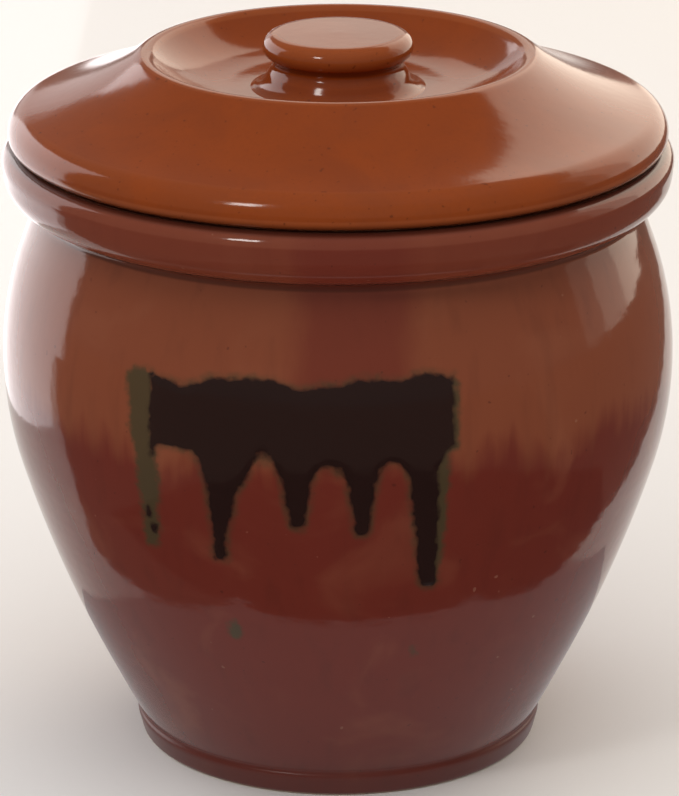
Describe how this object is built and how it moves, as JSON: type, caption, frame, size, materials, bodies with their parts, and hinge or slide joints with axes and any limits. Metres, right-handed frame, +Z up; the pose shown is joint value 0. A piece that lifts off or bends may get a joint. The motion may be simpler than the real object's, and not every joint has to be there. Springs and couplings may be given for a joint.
{
  "type": "ceramic fermenting crock",
  "caption": "Round-bellied stoneware fermenting crock with a rolled rim, a loose lid with a sunken knob, and half-round pressing weights inside.",
  "frame": {"origin": "centre of the foot, on the surface that the crock stands on", "axes": "+Z up along the axis on which the crock was thrown; -Y towards the side with the poured dark glaze; +X to that side's right"},
  "size_m": [0.245, 0.245, 0.2653],
  "materials": {
    "crock_glaze": "gloss",
    "lid_glaze": "gloss",
    "weight_clay": "matte"
  },
  "bodies": {
    "crock": {"crock": "crock_glaze"},
    "lid": {"lid": "lid_glaze", "lid_knob": "lid_glaze"},
    "weight_left": {"weight_left": "weight_clay"},
    "weight_right": {"weight_right": "weight_clay"}
  },
  "joints": [
    {"name": "lid_lift", "type": "slide", "parent": "crock", "child": "lid", "axis": [0, 0, 1], "range_m": [0, 0.15]},
    {"name": "weight_left_lift", "type": "slide", "parent": "crock", "child": "weight_left", "axis": [0, 0, 1], "range_m": [0, 0.13]},
    {"name": "weight_right_lift", "type": "slide", "parent": "crock", "child": "weight_right", "axis": [0, 0, 1], "range_m": [0, 0.13]}
  ]
}
